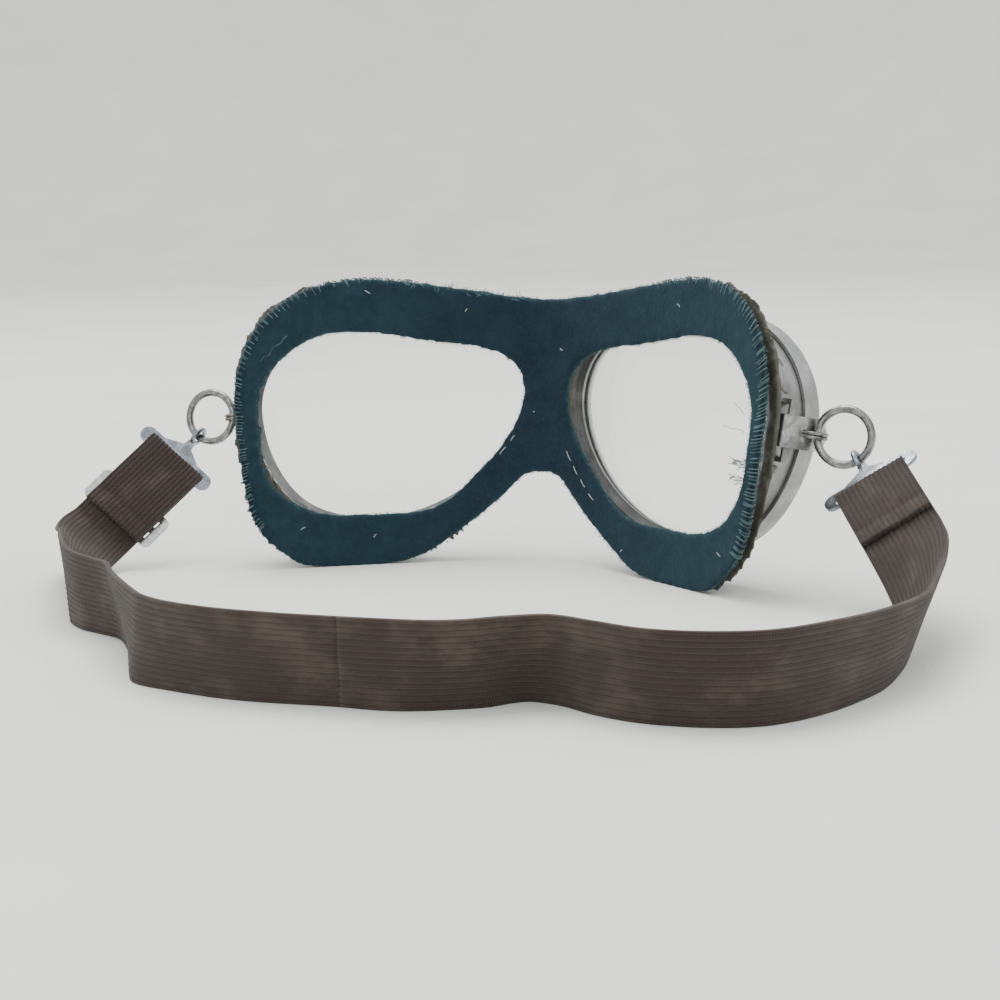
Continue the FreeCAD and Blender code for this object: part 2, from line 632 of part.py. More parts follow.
def slider(side):
    """The flat length-adjusting slide behind the strap: an outer frame with a bar across its middle."""
    near, far = SLIDER_DROP, SLIDER_DROP + SLIDER_THICK
    half = SLIDER_LENGTH / 2
    frame = box((SLIDER_PLACE, -half, near), (SLIDER_PLACE + SLIDER_WIDTH, half, far))
    gap = (SLIDER_WIDTH - 3 * SLIDER_BAR) / 2
    window_half = STRAP_WIDTH / 2 + SLIDER_CLEAR
    for n in range(2):
        start = SLIDER_PLACE + SLIDER_BAR + n * (gap + SLIDER_BAR)
        frame = frame.cut(box((start, -window_half, near - 1), (start + gap, window_half, far + 1)))
    upright_edges = [e for e in frame.Edges
                     if abs(e.Vertexes[0].X - e.Vertexes[-1].X) < 1e-6
                     and abs(e.Vertexes[0].Y - e.Vertexes[-1].Y) < 1e-6
                     and abs(abs(e.Vertexes[0].Y) - half) < 1e-6]
    return side.place(frame.makeFillet(SLIDER_CORNER, upright_edges))


def with_more_between(stations):
    """The same pairs of edge points, with more between them on a smooth curve through each edge."""
    last = len(stations) - 1
    place = [0.0]
    for (a0, b0), (a1, b1) in zip(stations, stations[1:]):
        place.append(place[-1] + (a1 + b1 - a0 - b0).Length / 2)
    slopes = []
    for i in range(last + 1):
        before, after = max(i - 1, 0), min(i + 1, last)
        span = place[after] - place[before]
        slopes.append([(stations[after][edge] - stations[before][edge]) * (1 / span) for edge in (0, 1)])
    closer = []
    for i in range(last):
        span = place[i + 1] - place[i]
        for step in range(STRAP_STEPS):
            t = step / STRAP_STEPS
            closer.append([stations[i][edge] * (2 * t ** 3 - 3 * t ** 2 + 1)
                           + slopes[i][edge] * (span * (t ** 3 - 2 * t ** 2 + t))
                           + stations[i + 1][edge] * (3 * t ** 2 - 2 * t ** 3)
                           + slopes[i + 1][edge] * (span * (t ** 3 - t ** 2)) for edge in (0, 1)])
    return closer + [list(stations[last])]


def full_width(low, towards):
    """The strap's two edges, from its lower edge towards a place, as far apart as it is wide."""
    return low, low + unit(towards - low) * STRAP_WIDTH


def strap_band():
    """The single layer of elastic that stands on its edge between the two sewn ends."""
    half = STRAP_WIDTH / 2
    high = STRAP_WIDTH + FLOOR_GAP
    stations = [(RIGHT.point(RIGHT.end + p, -half, 0), RIGHT.point(RIGHT.end + p, half, 0))
                for p in PAST_SEWN]
    stations += [full_width(V(*low), V(*towards)) for low, towards in STRAP_RIGHT]
    stations += [(V(*low, FLOOR_GAP), V(*top, high)) for low, top in STRAP_FRONT]
    stations += [full_width(V(*low), V(*towards)) for low, towards in STRAP_LEFT]
    stations += [(LEFT.point(LEFT.end + p, -half, 0), LEFT.point(LEFT.end + p, half, 0))
                 for p in reversed(PAST_SEWN)]
    stations = with_more_between(stations)
    sections = []
    for i, (a, b) in enumerate(stations):
        a0, b0 = stations[max(i - 1, 0)]
        a1, b1 = stations[min(i + 1, len(stations) - 1)]
        off = unit(((a1 + b1) - (a0 + b0)).cross(b - a)) * (STRAP_THICK / 2)
        sections.append(Part.makePolygon([a + off, b + off, b - off, a - off, a + off]))
    return Part.makeLoft(sections, True, True)


# ---- the whole object ------------------------------------------------------------------------------
def build():
    """Every piece by its name, about the plane between the eyes."""
    cup_right = cup()
    keeper_right = keeper()
    right = {
        "cup": cup_right, "bezel": bezel(), "lens": lens(), "lens_seal": lens_seal(),
        "leatherette_skirt": leatherette_skirt(), "keeper_strip": keeper_right,
        "keeper_rivets": keeper_rivets(keeper_right), "clasp_plate": clasp(),
        "split_pin": split_pin(), "ring": ring(),
    }
    pieces = {}
    for name, shape in right.items():
        pieces[name + "_right"] = shape
        pieces[name + "_left"] = other_side(shape)
    for word, side in (("right", RIGHT), ("left", LEFT)):
        pieces["strap_hanger_" + word] = hanger(side)
        pieces["strap_end_" + word] = strap_end(side)
    pieces["strap_slider"] = slider(LEFT)
    pieces["felt_pad"] = felt_pad()
    pieces["nose_bridge"] = nose_bridge([pieces[n + s] for n in ("cup", "bezel", "leatherette_skirt")
                                         for s in ("_right", "_left")])
    pieces["strap_band"] = strap_band()
    return pieces


def ground_shift(pieces):
    """The move that puts the bottom centre of the object's box at the origin."""
    bounds = FreeCAD.BoundBox()
    for shape in pieces.values():
        for vertex in shape.tessellate(0.1)[0]:
            bounds.add(vertex)
    return V(-bounds.Center.x, -bounds.Center.y, -bounds.ZMin)


def main():
    os.makedirs("parts", exist_ok=True)
    pieces = build()
    shift = ground_shift(pieces)
    for name, shape in pieces.items():
        shape.translate(shift)
        shape.exportStep("parts/" + name + ".step")
    print("moved by", [round(c, 3) for c in shift])


main()
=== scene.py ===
"""The finish of a pair of split-lens motorcycle goggles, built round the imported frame. Metres."""
import math
import random

import bmesh
import bpy
from mathutils import Matrix, Vector, noise


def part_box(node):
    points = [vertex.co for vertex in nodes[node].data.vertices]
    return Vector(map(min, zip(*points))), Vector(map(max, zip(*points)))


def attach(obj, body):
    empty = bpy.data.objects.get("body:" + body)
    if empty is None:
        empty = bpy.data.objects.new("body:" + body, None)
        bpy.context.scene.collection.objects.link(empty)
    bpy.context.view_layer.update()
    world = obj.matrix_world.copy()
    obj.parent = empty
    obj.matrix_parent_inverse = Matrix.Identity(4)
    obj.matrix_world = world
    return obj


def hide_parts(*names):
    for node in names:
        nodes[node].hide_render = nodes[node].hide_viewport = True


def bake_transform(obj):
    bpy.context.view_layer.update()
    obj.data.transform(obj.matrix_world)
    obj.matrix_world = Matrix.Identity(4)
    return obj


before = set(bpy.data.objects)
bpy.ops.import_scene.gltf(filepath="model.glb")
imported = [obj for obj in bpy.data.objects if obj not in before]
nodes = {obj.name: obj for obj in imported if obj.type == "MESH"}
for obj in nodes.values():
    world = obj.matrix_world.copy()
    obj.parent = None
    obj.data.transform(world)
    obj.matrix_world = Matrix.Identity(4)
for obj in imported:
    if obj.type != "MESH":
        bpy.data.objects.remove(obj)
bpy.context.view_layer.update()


# ---- floor, light and camera ------------------------------------------------------------------------
# A round floor of pale cloth that curves up at its edge, soft light from a wide frame overhead, and a
# camera looking at the wearer's side of the goggles from a little above.
MM = 0.001


class Value:
    """A socket in a material. Arithmetic on it adds Math nodes, and make() adds any other node."""

    def __init__(self, tree, socket=None):
        self.tree = tree
        self.socket = socket

    def make(self, kind, settings=(), inputs=(), out=0):
        """A new node: its settings and ramp stops are set first, then its sockets' values or links."""
        node = self.tree.nodes.new("ShaderNode" + kind)
        for name, value in dict(settings).items():
            if name == "stops":
                while len(node.color_ramp.elements) < len(value):
                    node.color_ramp.elements.new(1.0)
                for element, (place, colour) in zip(node.color_ramp.elements, value):
                    element.position = place
                    element.color = (*colour, 1) if len(colour) == 3 else colour
            else:
                setattr(node, name, value)
        for name, value in dict(inputs).items():
            if isinstance(value, Value):
                self.tree.links.new(value.socket, node.inputs[name])
            elif isinstance(value, tuple) and len(value) == 3 and node.inputs[name].type == "RGBA":
                node.inputs[name].default_value = (*value, 1)
            else:
                node.inputs[name].default_value = value
        return Value(self.tree, node.outputs[out])

    def math(self, operation, a, b=0.0):
        return self.make("Math", {"operation": operation}, {0: a, 1: b})

    def __add__(self, other):
        return self.math("ADD", self, other)

    def __sub__(self, other):
        return self.math("SUBTRACT", self, other)

    def __rsub__(self, other):
        return self.math("SUBTRACT", other, self)

    def __mul__(self, other):
        return self.math("MULTIPLY", self, other)

    def __pow__(self, other):
        return self.math("POWER", self, other)

    def clamp(self):
        return self.make("Clamp", {}, {0: self})

    def mix(self, a, b):
        """Colour a where this value is 0, colour b where it is 1."""
        return self.make("Mix", {"data_type": "RGBA"}, {0: self, 6: a, 7: b}, out=2)

    def step(self, low, high):
        """A smooth rise from 0 at low to 1 at high."""
        ranges = {1: low, 2: high, 3: 0.0, 4: 1.0}
        return self.make("MapRange", {"interpolation_type": "SMOOTHSTEP"}, {0: self, **ranges})

    __radd__ = __add__
    __rmul__ = __mul__


def finish(name):
    """A new material with a Principled shader: returns the material, a Value to build on, its shader."""
    material = bpy.data.materials.new(name)
    material.use_nodes = True
    shader = material.node_tree.nodes["Principled BSDF"]
    return material, Value(material.node_tree), shader


def connect(shader, **values):
    """Puts Values and constants on the shader's sockets; an underscore stands for a space."""
    for name, value in values.items():
        socket = shader.inputs[name.replace("_", " ")]
        if isinstance(value, Value):
            value.tree.links.new(value.socket, socket)
        elif isinstance(value, tuple) and len(value) == 3 and socket.type == "RGBA":
            socket.default_value = (*value, 1)
        else:
            socket.default_value = value


def cloud(start, scale, detail=4.0, roughness=0.55, where="Object", stretch=(1, 1, 1), distortion=0.0):
    """A noise pattern whose scale is in waves per metre, or per UV unit where where is UV."""
    place = start.make("TexCoord", {}, {}, out=where)
    place = start.make("Mapping", {}, {"Vector": place, "Scale": stretch})
    return start.make("TexNoise", {}, {"Vector": place, "Scale": scale, "Detail": detail,
                                       "Roughness": roughness, "Distortion": distortion})


def bump(start, height, depth, strength=1.0, normal=None):
    """A bump of that many metres from a height between 0 and 1."""
    inputs = {"Height": height, "Distance": depth, "Strength": strength}
    if normal is not None:
        inputs["Normal"] = normal
    return start.make("Bump", {}, inputs)


def piece_from(mesh_maker, name, material):
    """A new piece from a bmesh."""
    mesh = bpy.data.meshes.new(name)
    mesh_maker.to_mesh(mesh)
    mesh_maker.free()
    piece = bpy.data.objects.new(name, mesh)
    bpy.context.scene.collection.objects.link(piece)
    mesh.materials.append(material)
    mesh.polygons.foreach_set("use_smooth", [True] * len(mesh.polygons))
    return piece


cloth_floor, start, shader = finish("floor_cloth")
soft_mottle = cloud(start, 9, 3).step(0.3, 0.7)
weave = cloud(start, 900, 2, stretch=(1, 0.35, 1))
connect(shader, Base_Color=soft_mottle.mix((0.78, 0.785, 0.74), (0.83, 0.835, 0.79)), Roughness=0.95,
        Normal=bump(start, weave, 0.4 * MM, 0.35))

FLOOR_FLAT = 2.2
FLOOR_RIM = 1.2
FLAT_STEPS = 6
RIM_STEPS = 8
profile = bmesh.new()
rim_points = [profile.verts.new((FLOOR_FLAT * i / FLAT_STEPS, 0, 0)) for i in range(FLAT_STEPS + 1)]
for i in range(1, RIM_STEPS + 1):
    turn = math.radians(90 * i / RIM_STEPS)
    rim_points.append(profile.verts.new((FLOOR_FLAT + FLOOR_RIM * math.sin(turn), 0,
                                         FLOOR_RIM * (1 - math.cos(turn)))))
rim_edges = [profile.edges.new(pair) for pair in zip(rim_points, rim_points[1:])]
bmesh.ops.spin(profile, geom=rim_points + rim_edges, cent=(0, 0, 0), axis=(0, 0, 1),
               angle=math.tau, steps=64, use_merge=True)
bmesh.ops.remove_doubles(profile, verts=profile.verts, dist=1e-5)
bmesh.ops.recalc_face_normals(profile, faces=profile.faces)
floor = piece_from(profile, "floor", cloth_floor)

world = bpy.data.worlds.new("studio")
bpy.context.scene.world = world
world.use_nodes = True
world.node_tree.nodes["Background"].inputs["Color"].default_value = (0.97, 0.99, 1.0, 1)
world.node_tree.nodes["Background"].inputs["Strength"].default_value = 1.4


LIGHT_AIM = Vector((0, 0, 0.03))


def softbox(name, place, width, power, colour):
    """A square area light at a place, facing the goggles."""
    light = bpy.data.lights.new(name, "AREA")
    light.size = width
    light.energy = power
    light.color = colour
    lamp = bpy.data.objects.new(name, light)
    lamp.location = place
    lamp.rotation_euler = (LIGHT_AIM - Vector(place)).to_track_quat("-Z", "Y").to_euler()
    bpy.context.scene.collection.objects.link(lamp)


softbox("overhead", (-0.35, 0.35, 1.5), 1.1, 24, (1.0, 0.985, 0.96))
softbox("front_fill", (0.7, -1.4, 0.9), 1.0, 5, (0.95, 0.98, 1.0))

# the plane between the eyes, which every place below is measured from, stands behind the pad's front
PAD_FRONT = 18.1 * MM
felt_low, felt_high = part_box("felt_pad")
EYES = Vector(((felt_low.x + felt_high.x) / 2, felt_high.y - PAD_FRONT, 0))
CAMERA_FROM_EYES = Vector((0.2298, -0.5352, 0.1091))
CAMERA_HEADING = 24.24
CAMERA_DOWN = 8.79
CAMERA_ROLL = -1.18
view = bpy.data.cameras.new("camera")
view.lens = 72
view.sensor_width = 36
view.clip_start = 0.01
camera = bpy.data.objects.new("camera", view)
camera.matrix_world = (Matrix.Translation(EYES + CAMERA_FROM_EYES)
                       @ Matrix.Rotation(math.radians(CAMERA_HEADING), 4, "Z")
                       @ Matrix.Rotation(math.radians(90 - CAMERA_DOWN), 4, "X")
                       @ Matrix.Rotation(math.radians(CAMERA_ROLL), 4, "Z"))
bpy.context.scene.collection.objects.link(camera)
bpy.context.scene.camera = camera


# ---- eye cups, bezels and keeper strips --------------------------------------------------------------
# Pressed aluminium, gone dull: the cups are blanked, drawn and pierced, the bezels are rolled over
# the lens edge, and the keeper strips are riveted to the cup walls.
def dress(names, material):
    """Gives each of those CAD nodes the material."""
    for name in names:
        nodes[name].data.materials.clear()
        nodes[name].data.materials.append(material)


def pair(name):
    """The names of a node's two copies, one on each side."""
    return [name + "_left", name + "_right"]


def dull_aluminium(name, shade, rough, wear):
    """Aluminium with a soft oxide bloom, dark specks and fine handling scratches."""
    material, start, shader = finish(name)
    bloom = cloud(start, 160, 5, 0.6).step(0.35, 0.68)
    specks = cloud(start, 1500, 3, 0.7).step(0.64, 0.74)
    scratch_one = cloud(start, 900, 2, 0.6, stretch=(1, 1, 0.03)).step(0.60, 0.66)
    scratch_two = cloud(start, 800, 2, 0.6, stretch=(0.04, 0.3, 1)).step(0.62, 0.68)
    scratches = (scratch_one + scratch_two).clamp()
    light = tuple(c * shade for c in (1.0, 1.0, 0.985))
    dark = tuple(c * shade for c in (0.70, 0.71, 0.70))
    colour = bloom.mix(dark, light)
    colour = (specks * wear).mix(colour, tuple(c * shade * 0.4 for c in (1, 0.97, 0.9)))
    connect(shader, Base_Color=colour, Metallic=0.85,
            Roughness=(bloom * -0.14 + scratches * -0.10 + rough).clamp(),
            Normal=bump(start, specks * -0.5 + scratches * 0.25 + cloud(start, 300, 3) * 0.7, 0.00008, 0.6))
    return material


cup_metal = dull_aluminium("dull_aluminium", 0.36, 0.50, 0.7)
bezel_metal = dull_aluminium("worn_aluminium_rim", 0.42, 0.44, 0.5)
keeper_metal = dull_aluminium("keeper_aluminium", 0.34, 0.44, 0.8)
rivet_metal = dull_aluminium("rivet_aluminium", 0.28, 0.42, 0.8)
dress(pair("cup"), cup_metal)
dress(pair("bezel"), bezel_metal)
dress(pair("keeper_strip"), keeper_metal)
dress(pair("keeper_rivets"), rivet_metal)


# ---- lenses and their seals --------------------------------------------------------------------------
# Flat panes of clear, faintly green glass with a little dust on them, bedded on thin black rubber
# against the seat that the cup's front edge turns in to make.
pane_glass, start, shader = finish("pane_glass")
dust = cloud(start, 260, 5, 0.65).step(0.55, 0.8)
connect(shader, Base_Color=(0.93, 0.97, 0.95), Roughness=dust * 0.10 + 0.015, Transmission_Weight=1.0,
        IOR=1.45, Alpha=0.32)
seal_rubber, start, shader = finish("seal_rubber")
connect(shader, Base_Color=cloud(start, 300, 3).mix((0.015, 0.015, 0.015), (0.035, 0.034, 0.032)),
        Roughness=0.7, Normal=bump(start, cloud(start, 2500, 2), 0.00005))
dress(pair("lens"), pane_glass)
dress(pair("lens_seal"), seal_rubber)


# ---- rings, clasps, split pins, hangers and slide ----------------------------------------------------
# Drawn and pressed steel with thin, tired plating: greyer and scratched on the wire, bluish and
# mottled on the flat hangers, bright but dented on the slide and clasps, with a trace of rust.
def tired_plating(name, bright, grey, rough, rust, tarnish=(0.34, 0.68)):
    """Plated steel with cloudy patches, small pits, fine scratches and a few brown stains."""
    material, start, shader = finish(name)
    patches = cloud(start, 420, 5, 0.62, distortion=0.6).step(*tarnish)
    pits = cloud(start, 2600, 3, 0.7).step(0.62, 0.72)
    stain = (cloud(start, 190, 4, 0.7).step(0.62, 0.74) * rust).clamp()
    scratches = cloud(start, 1300, 2, 0.5, stretch=(1, 0.05, 0.4)).step(0.60, 0.67)
    colour = patches.mix(grey, bright)
    colour = (pits * 0.45).mix(colour, tuple(c * 0.35 for c in grey))
    colour = stain.mix(colour, (0.10, 0.045, 0.02))
    connect(shader, Base_Color=colour, Metallic=(1 - stain * 0.7).clamp(),
            Roughness=(rough - patches * 0.12 + pits * 0.15 + stain * 0.3 + scratches * 0.08).clamp(),
            Normal=bump(start, pits * -0.6 + scratches * 0.3 + cloud(start, 300, 3) * 0.4, 0.00006, 0.5))
    return material


clasp_plating = tired_plating("clasp_plating", (0.52, 0.52, 0.52), (0.26, 0.26, 0.26), 0.36, 0.35)
pin_wire = tired_plating("pin_wire", (0.34, 0.33, 0.31), (0.12, 0.115, 0.11), 0.40, 0.9)
ring_wire = tired_plating("ring_wire", (0.34, 0.34, 0.33), (0.16, 0.16, 0.16), 0.30, 0.5)
hanger_plating = tired_plating("hanger_plating", (0.36, 0.40, 0.44), (0.17, 0.19, 0.21), 0.28, 0.7)
slide_plating = tired_plating("slide_plating", (0.66, 0.67, 0.66), (0.40, 0.41, 0.40), 0.22, 0.2)
dress(pair("clasp_plate"), clasp_plating)
dress(pair("split_pin"), pin_wire)
dress(pair("ring"), ring_wire)
dress(pair("strap_hanger"), hanger_plating)
dress(["strap_slider"], slide_plating)


# ---- nose bridge --------------------------------------------------------------------------------------
# A short strip of the same coated cloth as the skirts. It ties the two cups together over the nose,
# in front of the felt.
def coated_cloth(name):
    """Olive-grey leatherette: fine pebble grain, rubbed lighter on its folds, with dark creases."""
    material, start, shader = finish(name)
    pebbles = start.make("TexVoronoi", {"feature": "SMOOTH_F1"},
                         {"Vector": start.make("TexCoord", {}, {}, out="Object"), "Scale": 1500.0})
    rubbed = cloud(start, 240, 5, 0.6).step(0.42, 0.66)
    creases = cloud(start, 330, 4, 0.55, distortion=1.2).step(0.60, 0.50)
    colour = rubbed.mix((0.060, 0.060, 0.044), (0.120, 0.118, 0.090))
    colour = (pebbles * 0.5).mix(colour, (0.05, 0.048, 0.035))
    connect(shader, Base_Color=colour, Roughness=(0.62 - rubbed * 0.16).clamp(),
            Normal=bump(start, pebbles * -0.6 + creases * 0.5, 0.00018, 0.9))
    return material


leatherette = coated_cloth("leatherette")
dress(["nose_bridge"], leatherette)


# ---- felt face pad ------------------------------------------------------------------------------------
# One piece of thick blue-green wool felt, cut with shears. Its cut edges have gone fuzzy, and lighter
# fibres stand off them.
PAD_SLOPE = 0.24
PAD_ROUND = 1.5
PAD_WRAP = 0.0042
PAD_LEAN = 0.196
PAD_THICK = 3.0
FOOT = 1.5 * MM


def pad_rear(x, z):
    """How far forward the face side of the pad is, from millimetres across and up."""
    return PAD_LEAN * z - (math.hypot(PAD_SLOPE * x, PAD_ROUND) - PAD_ROUND + PAD_WRAP * x * x)


def dense_copy(node, name, material, voxel):
    """A closed copy of a soft CAD node, remeshed to even quads of that size."""
    shape = bmesh.new()
    shape.from_mesh(nodes[node].data)
    bmesh.ops.remove_doubles(shape, verts=shape.verts, dist=1e-6)
    piece = piece_from(shape, name, material)
    remesh = piece.modifiers.new("even", "REMESH")
    remesh.mode = "VOXEL"
    remesh.voxel_size = voxel
    remesh.use_smooth_shade = True
    applied = bpy.data.meshes.new_from_object(
        piece.evaluated_get(bpy.context.evaluated_depsgraph_get()))
    piece.modifiers.clear()
    piece.data = applied
    piece.data.name = name
    piece.data.materials.clear()
    piece.data.materials.append(material)
    return piece


def sculpt(piece, rounds, push):
    """Relaxes a piece that many times, then moves each point along its normal by push(place, normal)."""
    shape = bmesh.new()
    shape.from_mesh(piece.data)
    for _ in range(rounds):
        bmesh.ops.smooth_vert(shape, verts=shape.verts, factor=0.5, use_axis_x=True, use_axis_y=True,
                              use_axis_z=True)
    shape.normal_update()
    moves = [(vert, vert.normal * push(vert.co, vert.normal)) for vert in shape.verts]
    for vert, move in moves:
        vert.co += move
    shape.to_mesh(piece.data)
    shape.free()
    piece.data.polygons.foreach_set("use_smooth", [True] * len(piece.data.polygons))


def store(piece, name, share):
    """Keeps a value between 0 and 1 for each point of a piece, for its material to read."""
    kept = piece.data.attributes.new(name, "FLOAT", "POINT")
    kept.data.foreach_set("value", [share(vert.co, vert.normal) for vert in piece.data.vertices])


FELT_VOXEL = 0.9 * MM
FACE_START = 0.82
EDGE_START = 0.72
PAD_FACING = Vector((0, -1, 0.19)).normalized()

wool, start, shader = finish("wool_felt")
edge = start.make("Attribute", {"attribute_name": "cut_edge"}, {}, out=2)
nap = cloud(start, 900, 5, 0.7, distortion=0.8)
mottle = cloud(start, 120, 5, 0.65).step(0.32, 0.70)
flecks = cloud(start, 2300, 2, 0.6).step(0.69, 0.75)
colour = mottle.mix((0.0078, 0.0165, 0.027), (0.0130, 0.027, 0.042))
colour = (nap.step(0.35, 0.75) * 0.5).mix(colour, (0.017, 0.040, 0.054))
colour = (edge * 0.75).mix(colour, (0.030, 0.080, 0.092))
colour = (flecks * 0.4).mix(colour, (0.12, 0.17, 0.18))
connect(shader, Base_Color=colour, Roughness=0.96, Sheen_Weight=0.10, Sheen_Roughness=0.5,
        Sheen_Tint=(0.35, 0.62, 0.70), Specular_IOR_Level=0.15,
        Normal=bump(start, nap * 0.8 + flecks * 0.4, 0.0007, 0.9))

felt = dense_copy("felt_pad", "felt_face_pad", wool, FELT_VOXEL)


def felt_nap(place, normal):
    """Soft lumps all over, and a rougher cut where the pad turns through its thickness."""
    lumps = noise.noise(place * 90) * 0.35 + noise.noise(place * 320) * 0.16
    side_on = 1 - min(1, abs(normal.dot(PAD_FACING)) / FACE_START)
    ragged = noise.noise(place * 520 + Vector((7, 3, 1))) * 0.34 * side_on
    return (lumps * 0.5 + ragged) * MM if place.z > FOOT else 0.0


def cut_edge(place, normal):
    """1 on the cut edge of the felt, fading on to its faces."""
    side_on = max(0.0, min(1.0, 1.35 - abs(normal.dot(PAD_FACING)) / EDGE_START))
    return side_on * (0.65 + 0.5 * noise.noise(place * 400))


sculpt(felt, 3, felt_nap)
store(felt, "cut_edge", cut_edge)
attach(felt, "frame")
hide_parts("felt_pad")

edge_fibre, start, shader = finish("edge_fibre")
shade = cloud(start, 260, 3).step(0.4, 0.62)
connect(shader, Base_Color=shade.mix((0.016, 0.050, 0.064), (0.070, 0.165, 0.175)), Roughness=0.9,
        Sheen_Weight=0.3)


def strands(name, paths, thickness, material, sides=0):
    """Thin fibres or threads through lists of points, as one mesh piece."""
    lines = bpy.data.curves.new(name, "CURVE")
    lines.dimensions = "3D"
    lines.bevel_depth = thickness / 2
    lines.bevel_resolution = sides
    lines.resolution_u = 3
    lines.use_fill_caps = True
    for path in paths:
        spline = lines.splines.new("NURBS")
        spline.points.add(len(path) - 1)
        for point, place in zip(spline.points, path):
            point.co = (*place, 1)
        spline.order_u = 3
        spline.use_endpoint_u = True
    holder = bpy.data.objects.new(name, lines)
    bpy.context.scene.collection.objects.link(holder)
    mesh = bpy.data.meshes.new_from_object(holder.evaluated_get(bpy.context.evaluated_depsgraph_get()))
    bpy.data.objects.remove(holder)
    piece = bpy.data.objects.new(name, mesh)
    bpy.context.scene.collection.objects.link(piece)
    mesh.name = name
    mesh.materials.clear()
    mesh.materials.append(material)
    return piece


FIBRE_COUNT = 7000
FIBRE_THICK = 0.08 * MM
draw = random.Random(11)
cut_points = [vert for vert, kept in zip(felt.data.vertices, felt.data.attributes["cut_edge"].data)
              if kept.value > 0.45 and vert.co.z > 2 * MM]
fibres = []
for _ in range(FIBRE_COUNT):
    root = draw.choice(cut_points)
    out = (root.normal + Vector([draw.uniform(-0.9, 0.9) for _ in range(3)])).normalized()
    curl = Vector([draw.uniform(-1, 1) for _ in range(3)])
    reach = draw.uniform(0.35, 0.95) * MM
    fibres.append([root.co - root.normal * 0.15 * MM, root.co + out * reach * 0.5,
                   root.co + out * reach * 0.8 + curl * reach * 0.35])
fuzz = strands("felt_edge_fuzz", fibres, FIBRE_THICK, edge_fibre)
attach(fuzz, "frame")


# ---- overcast edge, loose threads and lint ---------------------------------------------------------------
# The felt is oversewn to the skirts with blue-green cotton over its tops and temples. Broken ends of
# thread hang from it, and white tacking stitches and bits of lint are still caught in the wool.
def eye_middle(sign):
    """The middle of one eye, on the plane between the eyes: sign is 1 on the right, -1 on the left."""
    return EYES + Vector((sign * 45, 0, 41)) * MM


def edge_course(piece, sign, first, last, count, keep):
    """The outermost places of a piece about one eye, from one angle to another, in degrees."""
    middle = eye_middle(sign)
    best = {}
    for vert in piece.data.vertices:
        if not keep(vert):
            continue
        side_x, up = (vert.co.x - middle.x) * sign, vert.co.z - middle.z
        angle = math.degrees(math.atan2(up, side_x))
        slot = (angle - first) / (last - first) * count
        if 0 <= slot < count and side_x ** 2 + up ** 2 > best.get(int(slot), (0,))[0]:
            best[int(slot)] = (side_x ** 2 + up ** 2, vert.co.copy())
    return [best[slot][1] for slot in sorted(best)]


cotton, start, shader = finish("overcast_cotton")
shade = cloud(start, 320, 3).step(0.35, 0.65)
connect(shader, Base_Color=shade.mix((0.020, 0.055, 0.066), (0.075, 0.15, 0.155)), Roughness=0.9,
        Sheen_Weight=0.2, Normal=bump(start, cloud(start, 5200, 2), 0.2 * MM))
white_cotton, start, shader = finish("tacking_cotton")
connect(shader, Base_Color=cloud(start, 700, 3).mix((0.36, 0.38, 0.36), (0.60, 0.61, 0.57)),
        Roughness=0.9)

SEAM_FIRST = -48
SEAM_LAST = 100
SEAM_STITCHES = 92
SEAM_THREAD = 0.34 * MM


def faces_wearer(vert):
    """Whether a point of the felt is on its face side, clear of the foot."""
    return vert.normal.dot(PAD_FACING) > 0.35 and vert.co.z > 2 * FOOT


draw = random.Random(23)
oversewn = []
for sign in (1, -1):
    middle = eye_middle(sign)
    for place in edge_course(felt, sign, SEAM_FIRST, SEAM_LAST, SEAM_STITCHES, faces_wearer):
        out = Vector((place.x - middle.x, 0, place.z - middle.z)).normalized()
        slant = Vector((-out.z, 0, out.x)) * draw.uniform(0.2, 0.9) * MM
        depth = draw.uniform(1.6, 2.5) * MM
        oversewn.append([place - out * depth + PAD_FACING * 0.05 * MM,
                         place - out * depth * 0.5 + PAD_FACING * 0.55 * MM,
                         place + out * 0.5 * MM + PAD_FACING * 0.3 * MM + slant * 0.5,
                         place + out * 0.75 * MM + Vector((0, 1.6, 0)) * MM + slant,
                         place + out * 0.1 * MM + Vector((0, 2.8, 0)) * MM + slant])
seam = strands("felt_overcast_seam", oversewn, SEAM_THREAD, cotton, 1)
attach(seam, "frame")


def on_pad(x, z):
    """A place on the rear face of the felt, from millimetres across and up."""
    return EYES + Vector((x, pad_rear(x, z), z)) * MM + PAD_FACING * 0.35 * MM


def wavy(start_place, end_place, steps, sway):
    """Points from one place to another that wander sideways."""
    places = []
    for i in range(steps + 1):
        drift = Vector([draw.uniform(-1, 1) for _ in range(3)]) * sway * (0 if i == 0 else 1)
        places.append(start_place.lerp(end_place, i / steps) + drift)
    return places


# loose threads run between two places, and each tuft has a place and a number of broken ends
LOOSE = [((73.6, 44.5), (66.0, 45.5), 7), ((-74.5, 61), (-68.5, 68), 8), ((73.3, 49), (70.0, 51.5), 6)]
TUFTS = [(-30, 80.5, 10), (-22, 79.2, 9), (-11, 78.0, 8), (-38, 82, 6), (73.8, 37, 22), (73.0, 33, 16)]
LIFT = PAD_FACING * 1.2 * MM
loose_threads = [wavy(on_pad(*a), on_pad(*b) + LIFT, steps, 0.55 * MM) for a, b, steps in LOOSE]
for x, z, count in TUFTS:
    for _ in range(count):
        root = on_pad(x + draw.uniform(-2.5, 2.5), z + draw.uniform(-1.4, 0.4))
        lift = Vector((draw.uniform(-1, 1), draw.uniform(-0.6, 0.3), draw.uniform(-0.3, 1)))
        if x > 0:
            lift = Vector((-1.0, draw.uniform(-0.7, 0.1), draw.uniform(-0.8, 0.8)))
        tip = root + lift.normalized() * draw.uniform(1.0, 2.8) * MM
        loose_threads.append(wavy(root, tip, 4, 0.32 * MM))
